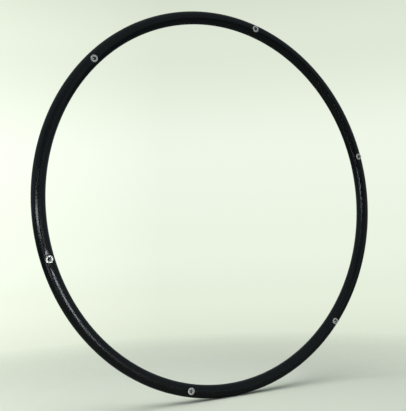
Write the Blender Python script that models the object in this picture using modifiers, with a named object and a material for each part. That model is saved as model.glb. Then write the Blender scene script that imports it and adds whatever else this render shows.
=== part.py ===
"""A manipulation hoop: plastic pipe bent to a ring, with six threaded inserts on its front face.

The frame is the hoop's own. The origin is the hoop's centre, the hoop's axis runs along Y, and the
hoop stands upright in the XZ plane with +Z up. The inserts open towards -Y, the front. The pipe's
two ends butt together at the splice, over a coupler that a blind rivet holds on each side of it.
"""

import math

import bpy

# Hoop pipe, in metres as everything here is.
HOOP_RADIUS = 0.440  # of the pipe's centreline
PIPE_RADIUS = 0.015  # outside
PIPE_WALL = 0.0025
PIPE_SIDES = 16
FACET_DEPTH = 0.00025  # the most that a straight facet cuts across the hoop's curve

# What touches on the real hoop stands this far apart here.
CLEARANCE = 0.0003

# Threaded inserts: M8 rivet nuts, set.
INSERT_COUNT = 6
FIRST_INSERT_ANGLE = math.radians(15.85)  # from +X towards +Z
SEAT_DEPTH = 0.001  # how far the pipe's crest is flattened under a flange
FLANGE_RADIUS = 0.008
FLANGE_THICKNESS = 0.0015
INSERT_BODY_RADIUS = 0.0055
BULGE_RADIUS = 0.0072
BULGE_LENGTH = 0.0028
MOUTH_RADIUS = 0.0042
THREAD_RADIUS = 0.0034  # the bore inside the thread's crests
THREAD_LENGTH = 0.008
CHAMFER = 0.0004

# Splice: a coupler inside the pipe, and a blind rivet on each side of the joint.
SPLICE_BAY = 5  # the joint is midway from this insert to the next, counted from 1
COUPLER_LENGTH = 0.120
COUPLER_WALL = 0.002
COUPLER_FIT = 0.0005  # radial room that lets the coupler slide into the bent pipe
RIVET_OFFSET = 0.034  # from the joint to each rivet, along the centreline
RIVET_SEAT_DEPTH = 0.0004
RIVET_RADIUS = 0.0024
RIVET_HEAD_RADIUS = 0.0048
RIVET_HEAD_HEIGHT = 0.0013
RIVET_BULB_RADIUS = 0.0036
RIVET_BULB_LENGTH = 0.0030
MANDREL_RADIUS = 0.0011
MANDREL_HEAD_RADIUS = 0.0021
MANDREL_HEAD_LENGTH = 0.0015
BREAK_DEPTH = 0.0003  # from the rivet's crown down to the mandrel's broken end

INSERT_STEPS = 20
PIN_STEPS = 16
SHARP_ANGLE = math.radians(30)

# Worked out from the above.
INSERT_PITCH = 2 * math.pi / INSERT_COUNT
SPLICE_ANGLE = FIRST_INSERT_ANGLE + (SPLICE_BAY - 0.5) * INSERT_PITCH
COUPLER_RADIUS = PIPE_RADIUS - PIPE_WALL - COUPLER_FIT
ACROSS_FLATS = math.cos(math.pi / PIPE_SIDES)  # a faceted tube's radius to its flats, as a share
PIPE_BORE_FLATS = (PIPE_RADIUS - PIPE_WALL) * ACROSS_FLATS
COUPLER_BORE_FLATS = (COUPLER_RADIUS - COUPLER_WALL) * ACROSS_FLATS

FRONT = (math.radians(90), 0.0, 0.0)  # turns a piece's own +Z to the hoop's -Y
REAR = (math.radians(-90), 0.0, 0.0)  # turns a piece's own +Z to the hoop's +Y


def inside_height(tube_radius, offset):
    """Return how high a tube's wall is over its centreline, this far off its middle."""
    return math.sqrt(tube_radius**2 - offset**2)


def arc_segments(arc):
    """Return how many straight facets an arc of the hoop needs."""
    facet = 2 * math.acos(1 - FACET_DEPTH / (HOOP_RADIUS + PIPE_RADIUS))
    return math.ceil(arc / facet)


def clear_scene():
    """Remove every object of the scene that the script starts in."""
    for old in list(bpy.data.objects):
        bpy.data.objects.remove(old, do_unlink=True)


def new_collection(name):
    """Return a new collection, linked to the scene."""
    collection = bpy.data.collections.new(name)
    bpy.context.scene.collection.children.link(collection)
    return collection


def new_material(name, colour, roughness, metallic):
    """Return a Principled material; the colour is linear red, green and blue."""
    material = bpy.data.materials.new(name)
    material.use_nodes = True
    shader = material.node_tree.nodes["Principled BSDF"]
    shader.inputs["Base Color"].default_value = (*colour, 1.0)
    shader.inputs["Roughness"].default_value = roughness
    shader.inputs["Metallic"].default_value = metallic
    material.diffuse_color = (*colour, 1.0)
    return material


def ring_place(angle, height):
    """Return the point this far along Y from the pipe's centreline, at an angle round the hoop."""
    return (HOOP_RADIUS * math.cos(angle), height, HOOP_RADIUS * math.sin(angle))


def outline_object(name, points, closed, collection):
    """Make an object whose mesh is one run of edges, closed into a loop or open."""
    edges = [(index, index + 1) for index in range(len(points) - 1)]
    if closed:
        edges.append((len(points) - 1, 0))
    mesh = bpy.data.meshes.new(name)
    mesh.from_pydata(points, edges, [])
    piece = bpy.data.objects.new(name, mesh)
    collection.objects.link(piece)
    return piece


def add_screw(piece, axis, angle, steps):
    """Turn the piece's outline about one of its own axes."""
    screw = piece.modifiers.new("Turn", "SCREW")
    screw.axis = axis
    screw.angle = angle
    screw.steps = steps
    screw.render_steps = steps
    screw.merge_threshold = 0.0001
    return screw


def turned_piece(name, profile, steps, collection, place, turn, material=None):
    """Make a turned piece from a profile of (radius, height) that starts down its outside.

    A profile that starts and ends on the axis makes a solid pin; any other is closed round a bore.
    """
    bored = profile[0][0] > 0
    points = [(radius, 0.0, height) for radius, height in profile]
    piece = outline_object(name, points, bored, collection)
    screw = add_screw(piece, "Z", 2 * math.pi, steps)
    screw.use_merge_vertices = not bored
    if material:
        piece.data.materials.append(material)
    piece.location = place
    piece.rotation_euler = turn
    return piece


def bent_tube(name, radius, wall, length, middle, collection, material):
    """Make a tube along the hoop's centreline, of this arc length and with its middle at an angle."""
    points = []
    for side in range(PIPE_SIDES):
        turn = 2 * math.pi * side / PIPE_SIDES
        points.append((HOOP_RADIUS + radius * math.cos(turn), -radius * math.sin(turn), 0.0))
    piece = outline_object(name, points, True, collection)
    arc = length / HOOP_RADIUS
    add_screw(piece, "Y", arc, arc_segments(arc))
    shell = piece.modifiers.new("Wall", "SOLIDIFY")
    shell.thickness = wall
    shell.offset = -1.0
    piece.data.materials.append(material)
    piece.rotation_euler = (0.0, -(middle + arc / 2), 0.0)
    return piece


def hide_cutter(cutter):
    """Mark a piece as a cutter, which is no part of the hoop."""
    cutter.hide_render = True
    cutter.display_type = "WIRE"


def cut_by(piece, cutters):
    """Cut every piece of a collection out of this one."""
    cut = piece.modifiers.new("Holes", "BOOLEAN")
    cut.operation = "DIFFERENCE"
    cut.solver = "EXACT"
    cut.operand_type = "COLLECTION"
    cut.collection = cutters


def stepped_cutter(name, hole, seat, depth, steps, collection, place, turn):
    """Make a cutter for a hole of one radius, opening into a wider seat at the piece's own z = 0."""
    above = PIPE_RADIUS
    profile = [(0.0, above), (seat, above), (seat, 0.0), (hole, 0.0), (hole, -depth), (0.0, -depth)]
    cutter = turned_piece(name, profile, steps, collection, place, turn)
    hide_cutter(cutter)
    return cutter


def finish_mesh(piece):
    """Turn a piece's modifiers into plain mesh, smooth except across its sharp edges."""
    evaluated = piece.evaluated_get(bpy.context.evaluated_depsgraph_get())
    mesh = bpy.data.meshes.new_from_object(evaluated)
    mesh.shade_smooth()
    mesh.set_sharp_from_angle(angle=SHARP_ANGLE)
    piece.modifiers.clear()
    piece.data = mesh


def insert_angles():
    """Return the angle of each insert round the hoop."""
    return [FIRST_INSERT_ANGLE + index * INSERT_PITCH for index in range(INSERT_COUNT)]


def rivet_angles():
    """Return the angle of each splice rivet round the hoop."""
    step = RIVET_OFFSET / HOOP_RADIUS
    return [SPLICE_ANGLE - step, SPLICE_ANGLE + step]


def insert_profile(seat_height):
    """Return a set insert's profile; z = 0 is its flange's face, over the pipe's seat."""
    face = seat_height + CLEARANCE + FLANGE_THICKNESS
    bulge_top = inside_height(PIPE_BORE_FLATS, BULGE_RADIUS) - CLEARANCE - face
    bulge_slope = (BULGE_RADIUS - INSERT_BODY_RADIUS) / 2
    bulge_foot = bulge_top - BULGE_LENGTH
    tail = bulge_foot - THREAD_LENGTH
    thread_top = bulge_foot - (MOUTH_RADIUS - THREAD_RADIUS)
    return [
        (FLANGE_RADIUS - CHAMFER, 0.0),
        (FLANGE_RADIUS, -CHAMFER),
        (FLANGE_RADIUS, -FLANGE_THICKNESS),
        (INSERT_BODY_RADIUS, -FLANGE_THICKNESS),
        (INSERT_BODY_RADIUS, bulge_top),
        (BULGE_RADIUS, bulge_top - bulge_slope),
        (BULGE_RADIUS, bulge_foot + bulge_slope),
        (INSERT_BODY_RADIUS, bulge_foot),
        (INSERT_BODY_RADIUS, tail + CHAMFER),
        (INSERT_BODY_RADIUS - CHAMFER, tail),
        (THREAD_RADIUS + CHAMFER, tail),
        (THREAD_RADIUS, tail + CHAMFER),
        (THREAD_RADIUS, thread_top),
        (MOUTH_RADIUS, bulge_foot),
        (MOUTH_RADIUS, -CHAMFER),
        (MOUTH_RADIUS + CHAMFER, 0.0),
    ]


def rivet_grip(seat_height):
    """Return the depth from a rivet's seat to where its bulb grips the coupler's bore."""
    return seat_height - inside_height(COUPLER_BORE_FLATS, RIVET_BULB_RADIUS) + CLEARANCE


def rivet_profile(grip):
    """Return a set rivet's profile; z = 0 is the underside of its domed head."""
    core = MANDREL_RADIUS + CLEARANCE
    cup = MANDREL_HEAD_RADIUS + CLEARANCE
    bulb_slope = RIVET_BULB_RADIUS - RIVET_RADIUS
    foot = -grip - RIVET_BULB_LENGTH
    dome = [
        (core + (RIVET_HEAD_RADIUS - core) * share, RIVET_HEAD_HEIGHT * math.sqrt(1 - share**2))
        for share in (0.0, 0.35, 0.65, 0.9)
    ]
    return [
        *dome,
        (RIVET_HEAD_RADIUS, 0.0),
        (RIVET_RADIUS, 0.0),
        (RIVET_RADIUS, -grip),
        (RIVET_BULB_RADIUS, -grip - bulb_slope),
        (RIVET_BULB_RADIUS, foot + bulb_slope / 2),
        (RIVET_BULB_RADIUS - bulb_slope / 2, foot),
        (cup, foot),
        (cup, foot + MANDREL_HEAD_LENGTH),
        (core, foot + MANDREL_HEAD_LENGTH + cup - core),
    ]


def mandrel_profile(grip):
    """Return a mandrel stub's profile, in its rivet's own frame."""
    foot = -grip - RIVET_BULB_LENGTH
    shoulder = foot + MANDREL_HEAD_LENGTH - CLEARANCE
    return [
        (0.0, RIVET_HEAD_HEIGHT - BREAK_DEPTH),
        (MANDREL_RADIUS, RIVET_HEAD_HEIGHT - BREAK_DEPTH),
        (MANDREL_RADIUS, shoulder + MANDREL_HEAD_RADIUS - MANDREL_RADIUS),
        (MANDREL_HEAD_RADIUS, shoulder),
        (MANDREL_HEAD_RADIUS, foot),
        (0.0, foot),
    ]


def build_inserts(collection, cutters, material):
    """Make the threaded inserts, and the cutter that drills and flattens the pipe for each."""
    seat_height = PIPE_RADIUS - SEAT_DEPTH
    face = seat_height + CLEARANCE + FLANGE_THICKNESS
    profile = insert_profile(seat_height)
    hole = INSERT_BODY_RADIUS + CLEARANCE
    seat = FLANGE_RADIUS + CLEARANCE
    depth = seat_height - inside_height(PIPE_BORE_FLATS, hole) + PIPE_WALL
    for number, angle in enumerate(insert_angles(), start=1):
        name = f"threaded_insert_{number}"
        place = ring_place(angle, -face)
        turned_piece(name, profile, INSERT_STEPS, collection, place, FRONT, material)
        place = ring_place(angle, -seat_height)
        stepped_cutter(f"{name}_cutter", hole, seat, depth, INSERT_STEPS, cutters, place, FRONT)


def build_rivets(collection, cutters, rivet_material, mandrel_material):
    """Make the splice rivets with their mandrel stubs, and the cutter for each one's hole."""
    seat_height = PIPE_RADIUS - RIVET_SEAT_DEPTH
    grip = rivet_grip(seat_height + CLEARANCE)
    hole = RIVET_RADIUS + CLEARANCE
    seat = RIVET_HEAD_RADIUS + CLEARANCE
    depth = grip + RIVET_BULB_LENGTH
    for number, angle in enumerate(rivet_angles(), start=1):
        place = ring_place(angle, seat_height + CLEARANCE)
        name = f"splice_rivet_{number}"
        turned_piece(name, rivet_profile(grip), PIN_STEPS, collection, place, REAR, rivet_material)
        mandrel = f"rivet_mandrel_{number}"
        profile = mandrel_profile(grip)
        turned_piece(mandrel, profile, PIN_STEPS, collection, place, REAR, mandrel_material)
        place = ring_place(angle, seat_height)
        stepped_cutter(f"{name}_cutter", hole, seat, depth, PIN_STEPS, cutters, place, REAR)


def build_hoop():
    """Build the whole hoop."""
    clear_scene()
    parts = new_collection("juggling_ring")
    insert_cutters = new_collection("insert_cutters")
    rivet_cutters = new_collection("rivet_cutters")

    pipe_black = new_material("black_polyethylene", (0.009, 0.010, 0.010), 0.32, 0.0)
    coupler_grey = new_material("grey_nylon", (0.10, 0.10, 0.10), 0.55, 0.0)
    zinc = new_material("zinc_plated_steel", (0.62, 0.62, 0.60), 0.32, 1.0)
    aluminium = new_material("aluminium", (0.70, 0.70, 0.71), 0.35, 1.0)
    bare_steel = new_material("bare_steel", (0.42, 0.41, 0.40), 0.40, 1.0)

    around = 2 * math.pi * HOOP_RADIUS - CLEARANCE
    opposite = SPLICE_ANGLE + math.pi
    pipe = bent_tube("hoop_pipe", PIPE_RADIUS, PIPE_WALL, around, opposite, parts, pipe_black)
    coupler = bent_tube(
        "splice_coupler",
        COUPLER_RADIUS,
        COUPLER_WALL,
        COUPLER_LENGTH,
        SPLICE_ANGLE,
        parts,
        coupler_grey,
    )
    build_inserts(parts, insert_cutters, zinc)
    build_rivets(parts, rivet_cutters, aluminium, bare_steel)
    cut_by(pipe, insert_cutters)
    cut_by(pipe, rivet_cutters)
    cut_by(coupler, rivet_cutters)
    bpy.context.view_layer.update()
    for piece in parts.objects:
        finish_mesh(piece)


build_hoop()
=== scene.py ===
"""Visual model of a round-tube juggling hoop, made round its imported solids.

The hoop is black polyethylene pipe bent to a ring, with six zinc-plated threaded inserts in its
front face and a riveted splice that closes it. Each sub-assembly and each finish is a class of
its own. Sizes are in metres.
"""

import logging
import math
from dataclasses import dataclass
from enum import Enum

import bmesh
import bpy
from mathutils import Matrix, Vector, noise


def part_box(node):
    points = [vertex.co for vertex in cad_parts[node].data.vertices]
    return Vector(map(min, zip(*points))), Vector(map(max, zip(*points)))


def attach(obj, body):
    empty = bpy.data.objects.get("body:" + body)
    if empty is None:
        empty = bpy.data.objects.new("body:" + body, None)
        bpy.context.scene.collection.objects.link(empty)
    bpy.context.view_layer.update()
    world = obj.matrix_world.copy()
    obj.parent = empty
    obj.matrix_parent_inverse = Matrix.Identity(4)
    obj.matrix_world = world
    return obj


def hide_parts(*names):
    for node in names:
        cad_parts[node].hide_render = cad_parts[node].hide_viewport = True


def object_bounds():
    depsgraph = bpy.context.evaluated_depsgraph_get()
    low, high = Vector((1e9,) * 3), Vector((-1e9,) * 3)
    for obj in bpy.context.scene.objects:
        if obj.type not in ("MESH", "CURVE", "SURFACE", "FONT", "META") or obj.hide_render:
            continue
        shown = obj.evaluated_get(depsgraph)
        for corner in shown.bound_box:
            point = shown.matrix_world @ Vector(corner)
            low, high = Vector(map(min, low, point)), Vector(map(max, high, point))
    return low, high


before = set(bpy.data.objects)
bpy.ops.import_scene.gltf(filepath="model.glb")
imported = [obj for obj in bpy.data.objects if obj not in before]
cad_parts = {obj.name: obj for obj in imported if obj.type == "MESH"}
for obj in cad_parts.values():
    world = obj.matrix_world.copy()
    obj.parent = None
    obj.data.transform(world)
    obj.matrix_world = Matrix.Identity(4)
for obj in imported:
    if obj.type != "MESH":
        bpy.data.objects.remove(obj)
CAD_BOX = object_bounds()

Tree = bpy.types.NodeTree
Socket = bpy.types.NodeSocket
ShaderInputs = bpy.types.NodeInputs
Material = bpy.types.Material
Piece = bpy.types.Object
Mesh = bmesh.types.BMesh
Points = list[tuple[float, float]]

log = logging.getLogger("hoop")

MM = 0.001
BODY = "root"
SHARP_ANGLE = math.radians(32)
MERGE_DISTANCE = 0.001 * MM
NOISE_SPAN = (0.3, 0.7)  # what a noise pattern mostly stays within
PLACE_ATTRIBUTE = "place_on_piece"  # where a point lies in its piece's own straight frame

# Two kinds of node whose inputs go by number.
MAP_RANGE = "ShaderNodeMapRange"  # 0 a value, 1 and 2 its range, 3 and 4 its new range
MIX = "ShaderNodeMix"  # 0 the second one's share, 6 and 7 two colours, and 2 what comes out


class Side(Enum):
    """The face of the hoop that a piece of hardware is set in, as its sign along Y."""

    FRONT = -1
    REAR = 1


# ---- Shader helpers ----


def linear(code: str) -> tuple[float, float, float, float]:
    """Turn an sRGB hex colour into the linear colour that a shader takes.

    Args:
        code: Six hex digits after a #.

    Returns:
        Linear red, green and blue, and an alpha of 1.
    """
    channels = [int(code[start : start + 2], 16) / 255 for start in (1, 3, 5)]
    red, green, blue = (
        value / 12.92 if value <= 0.04045 else ((value + 0.055) / 1.055) ** 2.4
        for value in channels
    )
    return red, green, blue, 1.0


def add_node(
    tree: Tree, kind: str, inputs: dict | list | tuple = (), **settings: object
) -> bpy.types.NodeOutputs:
    """Add a node with its settings, its input values and its links.

    Args:
        tree: The node tree to add to.
        kind: The node's type name.
        inputs: What its inputs take, in their order or by name or number: values, or the output
            sockets that feed them.
        **settings: Values for the node's own properties.

    Returns:
        The new node's outputs.
    """
    node = tree.nodes.new(kind)
    for name, value in settings.items():
        setattr(node, name, value)
    for name, value in inputs.items() if isinstance(inputs, dict) else enumerate(inputs):
        if isinstance(value, Socket):
            tree.links.new(value, node.inputs[name])
        else:
            node.inputs[name].default_value = value
    return node.outputs


def grain_noise(
    tree: Tree,
    place: Socket,
    size: tuple[float, float, float],
    detail: float = 2.0,
    turn: float = 0.0,
) -> Socket:
    """Add a noise pattern whose grain has a real size along each axis.

    Args:
        tree: The node tree to add to.
        place: The coordinates in metres.
        size: The grain's size along X, Y and Z, in metres.
        detail: How many finer layers it holds.
        turn: How far the grain is turned about Z, in radians.

    Returns:
        The pattern, from about 0.3 to 0.7.
    """
    turned = add_node(tree, "ShaderNodeMapping", {"Vector": place, "Rotation": (0.0, 0.0, turn)})
    scale = tuple(1 / length for length in size)
    sized = add_node(tree, "ShaderNodeMapping", {"Vector": turned[0], "Scale": scale})
    values = {"Vector": sized[0], "Scale": 1.0, "Detail": detail}
    return add_node(tree, "ShaderNodeTexNoise", values)["Fac"]


# ---- Finishes ----


@dataclass(frozen=True)
class Finish:
    """A surface finish: its name, its colour, and how it takes the light.

    Args:
        name: The material's name.
        colour: Its colour, as an sRGB hex code.
        roughness: Its roughness where no pattern moves it.
        metallic: 1 for a metal, 0 for anything else.
    """

    name: str
    colour: str
    roughness: float
    metallic: float

    def start(self) -> tuple[Material, Tree, ShaderInputs, Socket]:
        """Start the material with its plain values on the shader.

        Returns:
            The material, its node tree, its shader's inputs, and where a point lies in its
            piece's own straight frame, in metres.
        """
        material = bpy.data.materials.new(self.name)
        material.use_nodes = True
        tree = material.node_tree
        inputs = tree.nodes["Principled BSDF"].inputs
        inputs["Base Color"].default_value = linear(self.colour)
        inputs["Roughness"].default_value = self.roughness
        inputs["Metallic"].default_value = self.metallic
        place = add_node(tree, "ShaderNodeAttribute", attribute_name=PLACE_ATTRIBUTE)["Vector"]
        return material, tree, inputs, place

    def tint(self, tree: Tree, inputs: ShaderInputs, share: Socket, colour: str) -> None:
        """Blend the base colour towards another, by a share from 0 to 1."""
        values = {0: share, 6: linear(self.colour), 7: linear(colour)}
        tree.links.new(add_node(tree, MIX, values, data_type="RGBA")[2], inputs["Base Color"])

    def roughen(
        self, tree: Tree, inputs: ShaderInputs, pattern: Socket, down: float, up: float
    ) -> None:
        """Let a pattern move the roughness down and up from its plain value."""
        values = (pattern, *NOISE_SPAN, self.roughness - down, self.roughness + up)
        tree.links.new(add_node(tree, MAP_RANGE, values)[0], inputs["Roughness"])

    def bump(self, tree: Tree, inputs: ShaderInputs, layers: list[tuple[Socket, float]]) -> None:
        """Raise the surface by patterns laid over each other.

        Args:
            tree: The material's node tree.
            inputs: Its shader's inputs.
            layers: Each pattern with the height of its full range, in metres.
        """
        normal = None
        for pattern, height in layers:
            values = {"Height": pattern, "Strength": 1.0, "Distance": height}
            if normal:
                values["Normal"] = normal
            normal = add_node(tree, "ShaderNodeBump", values)["Normal"]
        tree.links.new(normal, inputs["Normal"])


@dataclass(frozen=True)
class ExtrudedPolyethylene(Finish):
    """Black polyethylene pipe, extruded and bent.

    It gives the eye a waxy black that draws light out into soft streaks along the pipe. Faint die
    lines fray the streaks, slow waves in the skin bend them, and fine scuffs dull them in places.

    Args:
        scuff_colour: What a scuff whitens the skin to.
        die_line: Spacing of the lines that the die leaves round the pipe.
        die_line_length: How far one line runs.
        wave: Length of the skin's slow waves.
        scuff: Width of a scuff; wider than real ones, so that they show.
        handling: Size of the patches that hands have dulled, along and across the pipe.
    """

    scuff_colour: str
    die_line: float = 0.9 * MM
    die_line_length: float = 300 * MM
    wave: float = 22 * MM
    scuff: float = 0.7 * MM
    handling: tuple[float, float, float] = (90 * MM, 40 * MM, 40 * MM)

    def scuffs(self, tree: Tree, place: Socket, turn: float) -> Socket:
        """Return a mask of thin marks that lean across the pipe by an angle."""
        marks = grain_noise(tree, place, (22 * self.scuff, self.scuff, self.scuff), 1.0, turn)
        return add_node(tree, MAP_RANGE, (marks, 0.64, 0.74, 0.0, 1.0))[0]

    def material(self) -> Material:
        """Build the material.

        Returns:
            The pipe's material.
        """
        material, tree, inputs, place = self.start()
        lines = grain_noise(tree, place, (self.die_line_length, self.die_line, self.die_line), 3.0)
        waves = grain_noise(tree, place, (3 * self.wave, self.wave, self.wave))
        handled = grain_noise(tree, place, self.handling)
        leaning = [self.scuffs(tree, place, math.radians(lean)) for lean in (12, -26)]
        both = add_node(tree, "ShaderNodeMath", leaning, operation="MAXIMUM")[0]
        worn = add_node(tree, MAP_RANGE, (handled, 0.45, 0.65, 0.15, 1.0))[0]
        marks = add_node(tree, "ShaderNodeMath", (both, worn), operation="MULTIPLY")[0]
        self.tint(tree, inputs, marks, self.scuff_colour)
        limits = (self.roughness - 0.03, self.roughness + 0.05)
        skin = add_node(tree, MAP_RANGE, (handled, 0.35, 0.65, *limits))[0]
        dulled = add_node(tree, "ShaderNodeMath", (marks, 0.18, skin), operation="MULTIPLY_ADD")[0]
        tree.links.new(dulled, inputs["Roughness"])
        self.bump(tree, inputs, [(waves, 0.10 * MM), (lines, 0.003 * MM), (marks, -0.002 * MM)])
        return material


@dataclass(frozen=True)
class ZincPlate(Finish):
    """Bright zinc plate on turned steel.

    It gives the eye a cool silver disc whose turning rings break the light into arcs. A trace of
    yellow passivation comes and goes, and a thin white bloom softens the metal in patches.

    Args:
        tarnish_colour: What the passivation tints the plate to.
        bloom: How much of the surface the bloom dulls where it is thickest.
        tool_mark: Spacing of the turning rings.
        grain: Size of the plate's crystals; coarser than real ones, so that they show.
        tarnish_patch: Size of a patch of passivation.
        bloom_patch: Size of a patch of bloom.
    """

    tarnish_colour: str
    bloom: float = 0.75
    tool_mark: float = 0.16 * MM
    grain: float = 0.25 * MM
    tarnish_patch: float = 5 * MM
    bloom_patch: float = 1.6 * MM

    def material(self) -> Material:
        """Build the material.

        Returns:
            The inserts' material.
        """
        material, tree, inputs, place = self.start()
        rings = grain_noise(tree, place, (self.tool_mark,) * 3, 1.0)
        grains = grain_noise(tree, place, (self.grain,) * 3)
        tarnish = grain_noise(tree, place, (self.tarnish_patch,) * 3)
        share = add_node(tree, MAP_RANGE, (tarnish, 0.45, 0.70, 0.0, 0.7))[0]
        self.tint(tree, inputs, share, self.tarnish_colour)
        bloom = grain_noise(tree, place, (self.bloom_patch,) * 3, 4.0)
        limits = (self.metallic, self.metallic - self.bloom)
        bare = add_node(tree, MAP_RANGE, (bloom, 0.35, 0.65, *limits))[0]
        tree.links.new(bare, inputs["Metallic"])
        self.roughen(tree, inputs, grains, 0.06, 0.10)
        self.bump(tree, inputs, [(rings, 0.004 * MM), (grains, 0.003 * MM)])
        return material


@dataclass(frozen=True)
class PressedMetal(Finish):
    """Soft metal as pressed, drawn or snapped.

    It gives the eye a matt silver with a fine uneven grain, rougher on a broken face.

    Args:
        worn_colour: What the metal darkens to in patches.
        grain: Size of the surface's grain.
        relief: Height of the grain.
        patch: Size of a worn patch.
    """

    worn_colour: str
    grain: float
    relief: float
    patch: float = 2.5 * MM

    def material(self) -> Material:
        """Build the material.

        Returns:
            The metal's material.
        """
        material, tree, inputs, place = self.start()
        grains = grain_noise(tree, place, (self.grain,) * 3, 3.0)
        patches = grain_noise(tree, place, (self.patch,) * 3)
        share = add_node(tree, MAP_RANGE, (patches, 0.45, 0.65, 0.0, 0.8))[0]
        self.tint(tree, inputs, share, self.worn_colour)
        self.roughen(tree, inputs, grains, 0.08, 0.12)
        self.bump(tree, inputs, [(grains, self.relief)])
        return material


@dataclass(frozen=True)
class MouldedNylon(Finish):
    """Grey nylon tube, a little chalky.

    It gives the eye a dull mid grey with faint lines along it, seen only in the splice's seam and
    down the pipe's bore.

    Args:
        chalk_colour: What the lines pale to.
        line: Spacing of the lines.
        line_length: How far one line runs.
    """

    chalk_colour: str
    line: float = 0.8 * MM
    line_length: float = 60 * MM

    def material(self) -> Material:
        """Build the material.

        Returns:
            The coupler's material.
        """
        material, tree, inputs, place = self.start()
        lines = grain_noise(tree, place, (self.line_length, self.line, self.line), 3.0)
        share = add_node(tree, MAP_RANGE, (lines, 0.4, 0.7, 0.0, 1.0))[0]
        self.tint(tree, inputs, share, self.chalk_colour)
        self.roughen(tree, inputs, lines, 0.05, 0.10)
        self.bump(tree, inputs, [(lines, 0.01 * MM)])
        return material


# ---- Mesh helpers ----


def smooth_fall(distance: float, start: float, width: float) -> float:
    """Return 1 up to a distance, falling smoothly to 0 over a width beyond it."""
    share = min(max((distance - start) / width, 0.0), 1.0)
    return 1 - share * share * (3 - 2 * share)


def arc_points(
    centre: tuple[float, float], radius: float, start: float, end: float, count: int
) -> Points:
    """Return points along a circular arc of a profile.

    Args:
        centre: The arc's centre, as (radius, height).
        radius: The arc's own radius.
        start: Its first angle in degrees, from the radius axis towards height.
        end: Its last angle.
        count: How many points it has.

    Returns:
        The points, as (radius, height).
    """
    angles = [math.radians(start + (end - start) * index / (count - 1)) for index in range(count)]
    return [
        (centre[0] + radius * math.cos(angle), centre[1] + radius * math.sin(angle))
        for angle in angles
    ]


def turned_mesh(profile: Points, steps: int) -> Mesh:
    """Turn a closed profile a full circle about the Z axis.

    Args:
        profile: Points as (radius, height), in order round the section.
        steps: How many facets go round.

    Returns:
        A closed mesh whose faces point out.
    """
    bm = bmesh.new()
    corners = [bm.verts.new((radius, 0.0, height)) for radius, height in profile]
    edges = [bm.edges.new(pair) for pair in zip(corners, corners[1:] + corners[:1])]
    bmesh.ops.spin(
        bm,
        geom=corners + edges,
        cent=(0.0, 0.0, 0.0),
        axis=(0.0, 0.0, 1.0),
        angle=math.tau,
        steps=steps,
        use_merge=True,
    )
    bmesh.ops.remove_doubles(bm, verts=bm.verts[:], dist=MERGE_DISTANCE)
    bmesh.ops.recalc_face_normals(bm, faces=bm.faces[:])
    return bm


def keep_place(bm: Mesh) -> None:
    """Keep each point's radius and height, which a turned piece's finish runs along.

    Args:
        bm: The mesh, turned about the Z axis.
    """
    layer = bm.verts.layers.float_vector.new(PLACE_ATTRIBUTE)
    for vert in bm.verts:
        vert[layer] = Vector((math.hypot(vert.co.x, vert.co.y), 0.0, vert.co.z))


def round_sharp_edges(bm: Mesh, width: float, segments: int) -> None:
    """Bevel every edge whose two faces meet sharply.

    Args:
        bm: The mesh.
        width: How far the rounding reaches from the edge.
        segments: How many facets it has.
    """
    sharp = [edge for edge in bm.edges if edge.calc_face_angle(0.0) > SHARP_ANGLE]
    bmesh.ops.bevel(
        bm,
        geom=sharp,
        offset=width,
        segments=segments,
        profile=0.5,
        affect="EDGES",
        material=-1,
        clamp_overlap=True,
    )


def show_piece(bm: Mesh, name: str, material: Material, node: str) -> Piece:
    """Make a finished piece that stands for a CAD node and rides on the hoop.

    Args:
        bm: The piece's mesh in its final place. It is freed.
        name: The piece's name.
        material: Its finish.
        node: The CAD node that it stands for.

    Returns:
        The piece, at the origin and unturned.
    """
    mesh = bpy.data.meshes.new(name)
    bm.to_mesh(mesh)
    bm.free()
    mesh.shade_smooth()
    mesh.set_sharp_from_angle(angle=SHARP_ANGLE)
    mesh.materials.append(material)
    piece = bpy.data.objects.new(name, mesh)
    bpy.context.scene.collection.objects.link(piece)
    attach(piece, BODY)
    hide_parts(node)
    return piece


# ---- Where things are ----


@dataclass(frozen=True)
class Station:
    """Where a piece of hardware is set in the pipe.

    Args:
        node: The hardware's CAD node.
        side: The face of the hoop that it is set in.
        angle: Its angle round the hoop, from +X towards +Z.
        distance: How far it stands from the hoop's axis.
        top: Its outermost face's height over the pipe's centreline.
        depth: How deep it reaches from there.
        radius: Its largest radius.
    """

    node: str
    side: Side
    angle: float
    distance: float
    top: float
    depth: float
    radius: float

    @classmethod
    def of(cls, node: str, side: Side) -> "Station":
        """Read a station from its CAD node.

        Args:
            node: The node's name.
            side: The face of the hoop that it is set in.

        Returns:
            The station.
        """
        low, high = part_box(node)
        middle = (low + high) / 2
        return cls(
            node=node,
            side=side,
            angle=math.atan2(middle.z, middle.x),
            distance=math.hypot(middle.x, middle.z),
            top=high.y if side is Side.REAR else -low.y,
            depth=high.y - low.y,
            radius=(high.x - low.x) / 2,
        )

    def matrix(self) -> Matrix:
        """Work out where the piece goes.

        Returns:
            What carries it from its own frame, with +Z out of the pipe, to its place.
        """
        out = Vector((0.0, self.side.value, 0.0))
        away = Vector((math.cos(self.angle), 0.0, math.sin(self.angle)))
        place = Matrix((away, out.cross(away), out)).transposed().to_4x4()
        place.translation = away * self.distance + out * self.top
        return place


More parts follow.
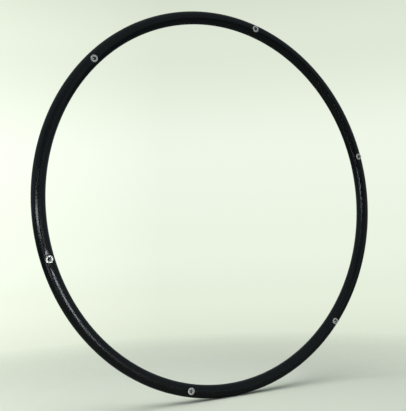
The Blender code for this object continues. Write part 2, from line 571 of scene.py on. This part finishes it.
@dataclass(frozen=True)
class HoopLayout:
    """The hoop's sizes, read from its CAD nodes.

    Args:
        inserts: Where the threaded inserts are.
        rivets: Where the splice's rivets are.
        mandrels: Where the rivets' mandrel stubs are.
        pipe_radius: The pipe's outer radius.
        radius: The radius of the pipe's centreline.
        coupler_radius: The coupler's outer radius.
    """

    inserts: list[Station]
    rivets: list[Station]
    mandrels: list[Station]
    pipe_radius: float
    radius: float
    coupler_radius: float

    @classmethod
    def read(cls) -> "HoopLayout":
        """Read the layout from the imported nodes.

        Returns:
            The layout.
        """
        names = sorted(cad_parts)
        low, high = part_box("hoop_pipe")
        coupler_low, coupler_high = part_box("splice_coupler")
        pipe_radius = (high.y - low.y) / 2
        return cls(
            inserts=[Station.of(n, Side.FRONT) for n in names if n.startswith("threaded_insert")],
            rivets=[Station.of(n, Side.REAR) for n in names if n.startswith("splice_rivet")],
            mandrels=[Station.of(n, Side.REAR) for n in names if n.startswith("rivet_mandrel")],
            pipe_radius=pipe_radius,
            radius=-low.x - pipe_radius,
            coupler_radius=(coupler_high.y - coupler_low.y) / 2,
        )

    @property
    def splice_angle(self) -> float:
        """The angle of the pipe's joint, midway between the rivets."""
        return sum(rivet.angle for rivet in self.rivets) / len(self.rivets)


# ---- Sub-assemblies ----


@dataclass
class BentTube:
    """A round tube that follows the hoop's curve, and what is drilled and pressed into it.

    Args:
        ring_radius: Radius of the curve that its centreline follows.
        radius: Its outer radius.
        wall: Its wall.
        start: The angle where it starts.
        sweep: How far round it goes.
        sides: How many facets go round its section.
        plain_step: Spacing of its sections where nothing is set in it.
        fine_step: Their spacing round a piece of hardware.
        crease: How softly a pressed flat meets the round.
    """

    ring_radius: float
    radius: float
    wall: float
    start: float
    sweep: float
    sides: int = 56
    plain_step: float = 6 * MM
    fine_step: float = 1.25 * MM
    crease: float = 0.4 * MM

    def stretches(self, stations: list[Station], reach: float) -> list[tuple[float, int]]:
        """Split the sweep so that its sections stand close together round the hardware.

        Args:
            stations: What is set in the tube.
            reach: How far to each side of one the sections stand close.

        Returns:
            Each stretch's sweep and how many steps it takes.
        """
        width = reach / self.ring_radius
        cuts = {0.0: self.plain_step, self.sweep: self.plain_step}
        for station in stations:
            middle = (station.angle - self.start) % math.tau
            cuts[middle - width] = self.fine_step
            cuts[middle + width] = self.plain_step
        ends = sorted(cuts)
        return [
            (end - begin, max(1, round((end - begin) * self.ring_radius / cuts[begin])))
            for begin, end in zip(ends, ends[1:])
        ]

    def shell(self, stretches: list[tuple[float, int]]) -> Mesh:
        """Sweep the tube's outer skin round the hoop's axis.

        Args:
            stretches: Each stretch's sweep and how many steps it takes.

        Returns:
            The skin, open at both ends, with its faces pointing out.
        """
        bm = bmesh.new()
        away = Matrix.Translation((self.ring_radius, 0.0, 0.0))
        place = Matrix.Rotation(-self.start, 4, "Y") @ away
        section = bmesh.ops.create_circle(
            bm, cap_ends=False, segments=self.sides, radius=self.radius, matrix=place
        )
        last = section["verts"] + list({e for v in section["verts"] for e in v.link_edges})
        for sweep, steps in stretches:
            made = bmesh.ops.spin(
                bm,
                geom=last,
                cent=(0.0, 0.0, 0.0),
                axis=(0.0, -1.0, 0.0),
                angle=sweep,
                steps=steps,
            )
            last = made["geom_last"]
        bmesh.ops.recalc_face_normals(bm, faces=bm.faces[:])
        return bm

    def straight_place(self, point: Vector) -> Vector:
        """Find where a point lies along the straightened tube and across its section.

        Args:
            point: The point, in the hoop's frame.

        Returns:
            How far it is along the tube, out from its centreline, and to the rear.
        """
        along = (math.atan2(point.z, point.x) - self.start) % math.tau
        across = math.hypot(point.x, point.z) - self.ring_radius
        return Vector((along * self.ring_radius, across, point.y))

    def keep_place(self, bm: Mesh) -> None:
        """Keep each point's place on the straightened tube, which its finish runs along.

        Args:
            bm: The tube.
        """
        layer = bm.verts.layers.float_vector.new(PLACE_ATTRIBUTE)
        for vert in bm.verts:
            vert[layer] = self.straight_place(vert.co)

    def near(
        self, bm: Mesh, station: Station, reach: float
    ) -> dict[bmesh.types.BMVert, Vector]:
        """Find the skin round a station, on the face that its hardware is set in.

        Args:
            bm: The tube's skin.
            station: Where the hardware is.
            reach: How far along the tube to look.

        Returns:
            Each point with its place from the station: along, across, and out of the face.
        """
        turn = Matrix.Rotation(station.angle, 3, "Y")
        found = {}
        for vert in bm.verts:
            local = turn @ vert.co
            along = math.atan2(local.z, local.x) * self.ring_radius
            out = vert.co.y * station.side.value
            if abs(along) < reach and out > 0:
                across = math.hypot(local.x, local.z) - self.ring_radius
                found[vert] = Vector((along, across, out))
        return found

    def drill(self, bm: Mesh, station: Station, radius: float) -> None:
        """Open a round hole through the skin at a station.

        Args:
            bm: The tube's skin.
            station: Where the hole is.
            radius: The hole's radius.
        """
        near = self.near(bm, station, 2 * radius)
        inside = {
            face
            for face in {face for vert in near for face in vert.link_faces}
            if all(vert in near for vert in face.verts)
            and sum((near[vert].to_2d() for vert in face.verts), Vector((0.0, 0.0))).length
            < radius * len(face.verts)
        }
        rim = {vert for face in inside for vert in face.verts if set(vert.link_faces) - inside}
        for vert in rim:
            along, across = near[vert].to_2d().normalized() * radius
            angle = station.angle + along / self.ring_radius
            distance = self.ring_radius + across
            vert.co.x, vert.co.z = math.cos(angle) * distance, math.sin(angle) * distance
        bmesh.ops.delete(bm, geom=list(inside), context="FACES")

    def press(
        self, bm: Mesh, station: Station, radius: float, height: float, blend: float
    ) -> None:
        """Flatten the skin under a piece of hardware, easing back to round beyond it.

        Args:
            bm: The tube's skin.
            station: Where the hardware is.
            radius: How far the flat reaches.
            height: The flat's height over the centreline.
            blend: How far beyond the flat the skin is still drawn in.
        """
        for vert, place in self.near(bm, station, radius + blend).items():
            share = smooth_fall(place.to_2d().length, radius, blend)
            over = place.z - height
            rounded = (over + math.hypot(over, self.crease)) / 2
            vert.co.y -= station.side.value * rounded * share

    def thicken(self, bm: Mesh) -> None:
        """Give the skin its wall, inwards, and close the ends and the holes' edges."""
        bmesh.ops.solidify(bm, geom=bm.faces[:], thickness=self.wall)
        bmesh.ops.recalc_face_normals(bm, faces=bm.faces[:])


@dataclass
class HoopPipe:
    """The black pipe, bent to a ring and cut open at the splice.

    Args:
        layout: The hoop's sizes.
        wall: The pipe's wall.
        seam: The gap that shows between its two ends.
        hole: Radius of the hole for an insert.
        seat_depth: How far the skin is pressed in under an insert's flange.
        rivet_hole: Radius of the hole for a rivet.
        rivet_seat_depth: How far the skin is pressed in under a rivet's head.
        ease: How far beyond an insert's flange the skin is drawn in, in flange radii.
        rivet_ease: How far beyond a rivet's head it is, in head radii.
    """

    layout: HoopLayout
    wall: float = 2.5 * MM
    seam: float = 0.3 * MM
    hole: float = 5.6 * MM
    seat_depth: float = 1.0 * MM
    rivet_hole: float = 2.5 * MM
    rivet_seat_depth: float = 0.4 * MM
    ease: float = 1.6
    rivet_ease: float = 1.2

    def build(self, material: Material) -> Piece:
        """Build the pipe.

        Args:
            material: Its finish.

        Returns:
            The pipe.
        """
        layout = self.layout
        gap = self.seam / layout.radius
        tube = BentTube(
            ring_radius=layout.radius,
            radius=layout.pipe_radius,
            wall=self.wall,
            start=layout.splice_angle + gap / 2,
            sweep=math.tau - gap,
        )
        reach = (1 + self.ease) * layout.inserts[0].radius
        bm = tube.shell(tube.stretches(layout.inserts + layout.rivets, reach))
        for rivet in layout.rivets:
            height = layout.pipe_radius - self.rivet_seat_depth
            tube.press(bm, rivet, rivet.radius, height, self.rivet_ease * rivet.radius)
            tube.drill(bm, rivet, self.rivet_hole)
        for insert in layout.inserts:
            height = layout.pipe_radius - self.seat_depth
            tube.press(bm, insert, insert.radius, height, self.ease * insert.radius)
            tube.drill(bm, insert, self.hole)
        tube.thicken(bm)
        tube.keep_place(bm)
        return show_piece(bm, "black_pipe", material, "hoop_pipe")


# One half of an insert's bulge, as shares of how far out it stands and how far from its middle.
BULGE_OUTLINE = ((0.15, 0.50), (0.75, 0.30), (1.0, 0.12))


@dataclass
class ThreadedInsert:
    """An M8 rivet nut, set: a flange, a collapsed bulge behind the wall, and a threaded end.

    Args:
        station: Where it is set.
        flange_thickness: Its flange, down to the pipe's seat.
        body_radius: Its body's outside.
        mouth_radius: Its bore above the thread.
        bulge_radius: The bulge that grips the wall from inside.
        bulge_top: Depth of the bulge's top from the flange's face.
        bulge_length: The bulge's length.
        lead_in: The plain length between the bulge and the thread, and above its first crest.
        pitch: The thread's pitch.
        levels_per_pitch: How many rings of points shape one turn of the thread.
        crest_radius: The bore inside the thread's crests.
        root_radius: The bore at the thread's roots.
        edge: Radius of its rounded edges.
        steps: How many facets go round.
    """

    station: Station
    flange_thickness: float = 1.78 * MM
    body_radius: float = 5.5 * MM
    mouth_radius: float = 4.2 * MM
    bulge_radius: float = 7.1 * MM
    bulge_top: float = 6.2 * MM
    bulge_length: float = 2.8 * MM
    lead_in: float = 0.8 * MM
    pitch: float = 1.25 * MM
    levels_per_pitch: int = 8
    crest_radius: float = 3.4 * MM
    root_radius: float = 4.0 * MM
    edge: float = 0.45 * MM
    steps: int = 64

    @property
    def thread_top(self) -> float:
        """Height of the thread's first crest, below the bulge."""
        return -self.bulge_top - self.bulge_length - self.lead_in

    def profile(self) -> Points:
        """Draw the section, with z = 0 on the flange's face.

        Returns:
            Its points, down the outside and up the bore.
        """
        edge = self.edge
        tail = -self.station.depth
        flange = self.station.radius
        foot = (flange - edge / 2, edge / 2 - self.flange_thickness)
        middle = -self.bulge_top - self.bulge_length / 2
        fold = self.bulge_radius - self.body_radius
        fillet = 0.2 * MM
        bulge = [
            (self.body_radius + out * fold, middle + way * along * self.bulge_length)
            for way, half in ((1, BULGE_OUTLINE), (-1, BULGE_OUTLINE[::-1]))
            for out, along in half
        ]
        threaded = self.thread_top - tail - edge
        levels = math.ceil(threaded / self.pitch * self.levels_per_pitch)
        return [
            *arc_points((flange - edge, -edge), edge, 90, 0, 6),
            *arc_points(foot, edge / 2, 0, -90, 4),
            (self.body_radius, -self.flange_thickness),
            (self.body_radius, -self.bulge_top + fillet),
            *bulge,
            (self.body_radius, -self.bulge_top - self.bulge_length - fillet),
            *arc_points((self.body_radius - edge, tail + edge), edge, 0, -90, 5),
            (self.crest_radius + edge, tail),
            *((self.crest_radius, tail + edge + threaded * n / levels) for n in range(levels + 1)),
            (self.mouth_radius, self.thread_top + self.lead_in),
            *arc_points((self.mouth_radius + edge, -edge), edge, 180, 90, 6),
        ]

    def cut_thread(self, bm: Mesh) -> None:
        """Wind the thread's groove round the bore.

        Args:
            bm: The insert, turned.
        """
        tail = -self.station.depth
        deep = self.root_radius - self.crest_radius
        for vert in bm.verts:
            radius = math.hypot(vert.co.x, vert.co.y)
            if radius > self.crest_radius + MERGE_DISTANCE or vert.co.z > self.thread_top:
                continue
            turn = math.atan2(vert.co.y, vert.co.x) / math.tau
            phase = (vert.co.z / self.pitch + turn) % 1.0
            groove = deep * (1 - abs(2 * phase - 1))
            from_end = min(self.thread_top - vert.co.z, vert.co.z - tail)
            scale = (radius + groove * min(1.0, from_end / self.pitch)) / radius
            vert.co.x *= scale
            vert.co.y *= scale

    def build(self, material: Material) -> Piece:
        """Build the insert.

        Args:
            material: Its finish.

        Returns:
            The insert.
        """
        bm = turned_mesh(self.profile(), self.steps)
        self.cut_thread(bm)
        keep_place(bm)
        bm.transform(self.station.matrix())
        node = self.station.node
        name = node.replace("threaded_insert", "zinc_insert")
        return show_piece(bm, name, material, node)


@dataclass
class SplicePin:
    """A set blind rivet and the stub of its mandrel.

    Args:
        rivet: Where the rivet is.
        mandrel: Where its mandrel's stub is.
        shank_radius: The rivet's shank.
        core_radius: Its bore.
        head_height: Its domed head, down to the seat.
        rim: Thickness of the head's edge.
        bulb_radius: The bulb that the mandrel drew up behind the coupler.
        bulb_length: The bulb's length.
        break_height: How ragged the mandrel's broken end is.
        break_grain: Size of the break's grain.
        steps: How many facets go round.
    """

    rivet: Station
    mandrel: Station
    shank_radius: float = 2.4 * MM
    core_radius: float = 1.25 * MM
    head_height: float = 1.58 * MM
    rim: float = 0.35 * MM
    bulb_radius: float = 3.5 * MM
    bulb_length: float = 3.0 * MM
    break_height: float = 0.18 * MM
    break_grain: float = 0.6 * MM
    steps: int = 48

    def rivet_profile(self) -> Points:
        """Draw the rivet's section, with z = 0 on its crown.

        Returns:
            Its points, down the outside and up the bore.
        """
        foot = -self.rivet.depth
        head = self.rivet.radius
        rise = self.head_height - self.rim
        crown = self.core_radius + 0.15 * MM
        dome = [
            (
                crown + (head - 0.1 * MM - crown) * share,
                -rise * (1 - math.sqrt(1 - 0.97 * share**2)),
            )
            for share in (0.0, 0.2, 0.4, 0.6, 0.75, 0.87, 0.95, 1.0)
        ]
        bulb = self.bulb_radius - self.shank_radius
        return [
            *dome,
            (head, -rise - 0.1 * MM),
            (head, -self.head_height + 0.08 * MM),
            (head - 0.08 * MM, -self.head_height),
            (self.shank_radius, -self.head_height),
            (self.shank_radius, foot + self.bulb_length + 0.1 * MM),
            (self.shank_radius + 0.6 * bulb, foot + self.bulb_length - 0.4 * MM),
            (self.bulb_radius, foot + 0.62 * self.bulb_length),
            (self.bulb_radius, foot + 0.35 * self.bulb_length),
            (self.shank_radius + 0.6 * bulb, foot + 0.1 * self.bulb_length),
            (self.shank_radius + 0.2 * bulb, foot),
            (self.core_radius + 1.0 * MM, foot),
            (self.core_radius + 1.0 * MM, foot + 1.5 * MM),
            (self.core_radius, foot + 2.4 * MM),
            (self.core_radius, -0.15 * MM),
        ]

    def mandrel_profile(self) -> Points:
        """Draw the mandrel stub's section, with z = 0 on its broken end.

        Returns:
            Its points, from the broken end down to the head.
        """
        foot = -self.mandrel.depth
        core = self.core_radius - 0.05 * MM
        head = self.mandrel.radius
        return [
            (0.02 * MM, 0.0),
            (0.35 * core, 0.02 * MM),
            (0.7 * core, -0.01 * MM),
            (core - 0.1 * MM, -0.05 * MM),
            (core, -0.2 * MM),
            (core, foot + 1.5 * MM + head - core),
            (head, foot + 1.5 * MM),
            (head, foot + 0.15 * MM),
            (head - 0.15 * MM, foot),
            (0.02 * MM, foot),
        ]

    def build(self, rivet_material: Material, mandrel_material: Material) -> list[Piece]:
        """Build the rivet and its mandrel's stub.

        Args:
            rivet_material: The rivet's finish.
            mandrel_material: The stub's finish.

        Returns:
            The rivet and the stub.
        """
        bm = turned_mesh(self.rivet_profile(), self.steps)
        keep_place(bm)
        bm.transform(self.rivet.matrix())
        name = self.rivet.node.replace("splice", "aluminium")
        rivet = show_piece(bm, name, rivet_material, self.rivet.node)

        bm = turned_mesh(self.mandrel_profile(), self.steps)
        keep_place(bm)
        for vert in bm.verts:
            if vert.co.z > -0.1 * MM:
                ragged = noise.noise(vert.co / self.break_grain) - 0.4
                vert.co.z += self.break_height * ragged
        bm.transform(self.mandrel.matrix())
        name = self.mandrel.node.replace("rivet_mandrel", "mandrel_stub")
        stub = show_piece(bm, name, mandrel_material, self.mandrel.node)
        return [rivet, stub]


@dataclass
class SpliceCoupler:
    """The nylon sleeve inside the pipe that holds its two ends in line.

    Args:
        layout: The hoop's sizes.
        length: Its length along the centreline.
        wall: Its wall.
        rivet_hole: Radius of the holes for the rivets.
        edge: Width of its rounded ends.
    """

    layout: HoopLayout
    length: float = 120 * MM
    wall: float = 2.0 * MM
    rivet_hole: float = 2.5 * MM
    edge: float = 0.5 * MM

    def build(self, material: Material) -> Piece:
        """Build the coupler.

        Args:
            material: Its finish.

        Returns:
            The coupler.
        """
        layout = self.layout
        sweep = self.length / layout.radius
        tube = BentTube(
            ring_radius=layout.radius,
            radius=layout.coupler_radius,
            wall=self.wall,
            start=layout.splice_angle - sweep / 2,
            sweep=sweep,
            plain_step=4 * MM,
        )
        bm = tube.shell(tube.stretches(layout.rivets, 2 * layout.rivets[0].radius))
        for rivet in layout.rivets:
            tube.drill(bm, rivet, self.rivet_hole)
        tube.thicken(bm)
        round_sharp_edges(bm, self.edge, 2)
        tube.keep_place(bm)
        return show_piece(bm, "nylon_coupler", material, "splice_coupler")


# ---- Studio ----


class LightUse(Enum):
    """What a light gives, a highlight in shiny surfaces or a wash without one, as its colour."""

    HIGHLIGHT = "#f4faff"
    WASH = "#ffffff"


@dataclass(frozen=True)
class SoftLight:
    """A flat soft light, placed by the way it lies from the spot that it is aimed at.

    Args:
        name: The light's name.
        use: What it gives.
        azimuth: Its direction from the spot in degrees, from the front towards +X.
        elevation: Its direction above the horizon, in degrees.
        distance: How far it stands from the spot.
        size: Its width and height.
        watts: Its power.
        aim: The spot's angle round the hoop in degrees, or None for the hoop's centre.
        spread: How widely it fans out, in degrees.
    """

    name: str
    use: LightUse
    azimuth: float
    elevation: float
    distance: float
    size: tuple[float, float]
    watts: float
    aim: float | None = None
    spread: float = 180.0

    def build(self, layout: HoopLayout) -> None:
        """Add the light to the scene.

        Args:
            layout: The hoop's sizes.
        """
        data = bpy.data.lights.new(self.name, "AREA")
        data.shape = "RECTANGLE"
        data.size, data.size_y = self.size
        data.energy = self.watts
        data.spread = math.radians(self.spread)
        data.color = linear(self.use.value)[:3]
        light = bpy.data.objects.new(self.name, data)
        spot = Vector()
        if self.aim is not None:
            round_hoop = math.radians(self.aim)
            spot = Vector((math.cos(round_hoop), 0.0, math.sin(round_hoop))) * layout.radius
        turn, rise = math.radians(self.azimuth), math.radians(self.elevation)
        away = Vector(
            (math.sin(turn) * math.cos(rise), -math.cos(turn) * math.cos(rise), math.sin(rise))
        )
        light.location = spot + away * self.distance
        light.rotation_euler = away.to_track_quat("Z", "Y").to_euler()
        light.visible_glossy = self.use is LightUse.HIGHLIGHT
        light.visible_diffuse = self.use is LightUse.WASH
        light.visible_camera = False
        bpy.context.scene.collection.objects.link(light)


@dataclass
class Studio:
    """A pale floor under a pale even background, soft lights, and the camera.

    Args:
        layout: The hoop's sizes.
        lights: The soft lights.
        floor_colour: The floor's colour.
        floor_painted_dark_reflection: The floor's colour as the pipe mirrors it, painted darker
            than
            the floor itself: a painted dark reflection that keeps the pipe black.
        floor_radius: How far the floor reaches.
        sky: Background colours by elevation in degrees, as the camera sees them.
        glow: Light from all round by elevation in degrees, as the surfaces see it.
        camera_place: The camera's place, in hoop radii from the hoop's centre.
        camera_forward: The way it looks.
        camera_up: The way its top points.
        lens: Its focal length in millimetres.
    """

    layout: HoopLayout
    lights: list[SoftLight]
    floor_colour: str = "#e3e9d9"
    # Painted shade: the darker colour that the floor shows only in reflections.
    floor_painted_dark_reflection: str = "#6a6f6a"
    floor_radius: float = 3.0
    sky: tuple[tuple[float, str], ...] = (
        (-20.0, "#c6cebd"),
        (-9.0, "#d9e1cf"),
        (-4.0, "#e6eedc"),
        (0.0, "#ebf3e3"),
        (8.0, "#eff7e8"),
        (17.0, "#dfe7d6"),
        (24.0, "#d0d8c6"),
    )
    glow: tuple[tuple[float, str], ...] = (
        (-60.0, "#585f61"),
        (-12.0, "#3d4447"),
        (3.0, "#7f898d"),
        (25.0, "#747c7f"),
        (70.0, "#71797c"),
    )
    camera_place: tuple[float, float, float] = (-1.888, -3.111, -0.253)
    camera_forward: tuple[float, float, float] = (0.4935, 0.8673, 0.0645)
    camera_up: tuple[float, float, float] = (0.0, -0.0742, 0.9972)
    lens: float = 59.3

    def ramp(self, tree: Tree, rise: Socket, stops: tuple[tuple[float, str], ...]) -> Socket:
        """Make a colour that changes with elevation.

        Args:
            tree: The world's node tree.
            rise: The height of the direction looked in, from -1 to 1.
            stops: Colours by elevation in degrees, lowest first.

        Returns:
            The colour.
        """
        low, high = (math.sin(math.radians(stops[end][0])) for end in (0, -1))
        node = tree.nodes.new("ShaderNodeValToRGB")
        elements = node.color_ramp.elements
        node.color_ramp.interpolation = "EASE"
        while len(elements) < len(stops):
            elements.new(0.5)
        for element, (degrees, colour) in zip(elements, stops):
            element.position = (math.sin(math.radians(degrees)) - low) / (high - low)
            element.color = linear(colour)
        tree.links.new(add_node(tree, MAP_RANGE, (rise, low, high, 0.0, 1.0))[0], node.inputs[0])
        return node.outputs[0]

    def world(self) -> None:
        """Make the pale background, brighter at a window side, and the light from all round.

        The surfaces see a dimmer surround than the camera does, darkest in the room behind the
        camera, so that the black pipe stays black.
        """
        world = bpy.data.worlds.new("studio_surround")
        world.use_nodes = True
        bpy.context.scene.world = world
        tree = world.node_tree
        tree.nodes.clear()
        ways = add_node(tree, "ShaderNodeTexCoord")["Generated"]
        rise = add_node(tree, "ShaderNodeSeparateXYZ", (ways,))["Z"]
        forward = Vector(self.camera_forward).normalized()
        right = forward.cross(self.camera_up).normalized()
        aside, behind = (
            add_node(tree, "ShaderNodeVectorMath", (ways, way), operation="DOT_PRODUCT")["Value"]
            for way in (right, -forward)
        )
        window = add_node(tree, MAP_RANGE, (aside, -0.30, -0.06, 1.16, 1.0))[0]
        room = add_node(tree, MAP_RANGE, (behind, 0.65, 0.94, 1.0, 0.25))[0]
        sky = {"Color": self.ramp(tree, rise, self.sky), "Strength": window}
        glow = {"Color": self.ramp(tree, rise, self.glow), "Strength": room}
        seen = add_node(tree, "ShaderNodeBackground", sky)
        felt = add_node(tree, "ShaderNodeBackground", glow)
        direct = add_node(tree, "ShaderNodeLightPath")["Is Camera Ray"]
        both = add_node(tree, "ShaderNodeMixShader", (direct, felt[0], seen[0]))
        add_node(tree, "ShaderNodeOutputWorld", {"Surface": both[0]})

    def floor(self) -> None:
        """Make the floor, which fades into the background away from the hoop."""
        fade_from, fade_to = 0.15 * self.floor_radius, 0.4 * self.floor_radius
        bm = bmesh.new()
        bmesh.ops.create_circle(bm, cap_ends=True, segments=96, radius=self.floor_radius)
        mesh = bpy.data.meshes.new("studio_floor")
        bm.to_mesh(mesh)
        bm.free()
        material = bpy.data.materials.new("pale_studio_board")
        material.use_nodes = True
        tree = material.node_tree
        shader = tree.nodes["Principled BSDF"]
        # Painted shade: glossy rays see the floor in a darker colour, which paints a dark
        # reflection into the pipe.
        mirrored = add_node(tree, "ShaderNodeLightPath")["Is Glossy Ray"]
        values = {0: mirrored, 6: linear(self.floor_colour), 7: linear(self.floor_painted_dark_reflection)}
        colour = add_node(tree, MIX, values, data_type="RGBA")[2]
        tree.links.new(colour, shader.inputs["Base Color"])
        shader.inputs["Roughness"].default_value = 1.0
        shader.inputs["Specular IOR Level"].default_value = 0.0
        place = add_node(tree, "ShaderNodeTexCoord")["Object"]
        away = add_node(tree, "ShaderNodeVectorMath", (place,), operation="LENGTH")["Value"]
        fade = add_node(tree, MAP_RANGE, (away, fade_from, fade_to, 0.0, 1.0))[0]
        clear = add_node(tree, "ShaderNodeBsdfTransparent")
        both = add_node(tree, "ShaderNodeMixShader", (fade, shader.outputs[0], clear[0]))
        tree.links.new(both[0], tree.nodes["Material Output"].inputs["Surface"])
        mesh.materials.append(material)
        floor = bpy.data.objects.new("studio_floor", mesh)
        floor.location.z = CAD_BOX[0].z
        bpy.context.scene.collection.objects.link(floor)

    def camera(self) -> None:
        """Place the camera."""
        data = bpy.data.cameras.new("studio_camera")
        data.lens = self.lens
        data.sensor_width = 36.0
        camera = bpy.data.objects.new("studio_camera", data)
        back = -Vector(self.camera_forward).normalized()
        right = Vector(self.camera_up).cross(back).normalized()
        turn = Matrix((right, back.cross(right), back)).transposed().to_4x4()
        turn.translation = Vector(self.camera_place) * self.layout.radius
        camera.matrix_world = turn
        bpy.context.scene.collection.objects.link(camera)
        bpy.context.scene.camera = camera

    def build(self) -> None:
        """Set up everything round the hoop."""
        bpy.context.scene.view_settings.view_transform = "Standard"
        self.world()
        self.floor()
        for light in self.lights:
            light.build(self.layout)
        self.camera()


# Each light's name, use, azimuth, elevation, distance, size, power, aim and spread.
LIGHTS = [
    SoftLight("side_window", LightUse.HIGHLIGHT, -44.0, -1.0, 1.6, (0.9, 0.09), 0.8, 183.0, 60.0),
    SoftLight("low_side_window", LightUse.HIGHLIGHT, -47.8, -19.8, 0.9, (0.34, 0.05), 0.3, 199.5),
    SoftLight(
        "low_front_window", LightUse.HIGHLIGHT, 4.0, -8.0, 1.5, (0.8, 0.11), 0.65, 210.0, 50.0
    ),
    SoftLight("top_wash", LightUse.WASH, -20.0, 72.0, 3.0, (3.0, 3.0), 72.0),
    SoftLight("front_wash", LightUse.WASH, -15.0, 25.0, 3.0, (2.5, 2.5), 15.0),
    SoftLight("side_wash", LightUse.WASH, -101.0, 18.0, 1.1, (0.8, 0.8), 5.0),
]


def main() -> None:
    """Build the hoop piece by piece, report each piece, and set the studio up round it."""
    logging.basicConfig(level=logging.INFO, format="%(name)s: %(message)s")
    layout = HoopLayout.read()
    polyethylene = ExtrudedPolyethylene(
        "black_polyethylene_extruded", "#090c0e", 0.24, 0.0, "#1a1e1f"
    ).material()
    zinc = ZincPlate("zinc_plate_bright", "#e2e5e6", 0.34, 1.0, "#dcd8c0").material()
    nylon = MouldedNylon("grey_nylon_moulded", "#595b5b", 0.5, 0.0, "#767877").material()
    aluminium = PressedMetal(
        "aluminium_pressed", "#c4c6c8", 0.34, 1.0, "#9da0a2", grain=0.3 * MM, relief=0.004 * MM
    ).material()
    steel = PressedMetal(
        "steel_snapped", "#8b8986", 0.45, 1.0, "#5f5a54", grain=0.2 * MM, relief=0.03 * MM
    ).material()

    pieces = [HoopPipe(layout).build(polyethylene)]
    pieces += [ThreadedInsert(station).build(zinc) for station in layout.inserts]
    pieces.append(SpliceCoupler(layout).build(nylon))
    for rivet, mandrel in zip(layout.rivets, layout.mandrels):
        pieces += SplicePin(rivet, mandrel).build(aluminium, steel)
    for piece in pieces:
        log.info("%s: %d faces", piece.name, len(piece.data.polygons))
    Studio(layout, LIGHTS).build()


if __name__ == "__main__":
    main()
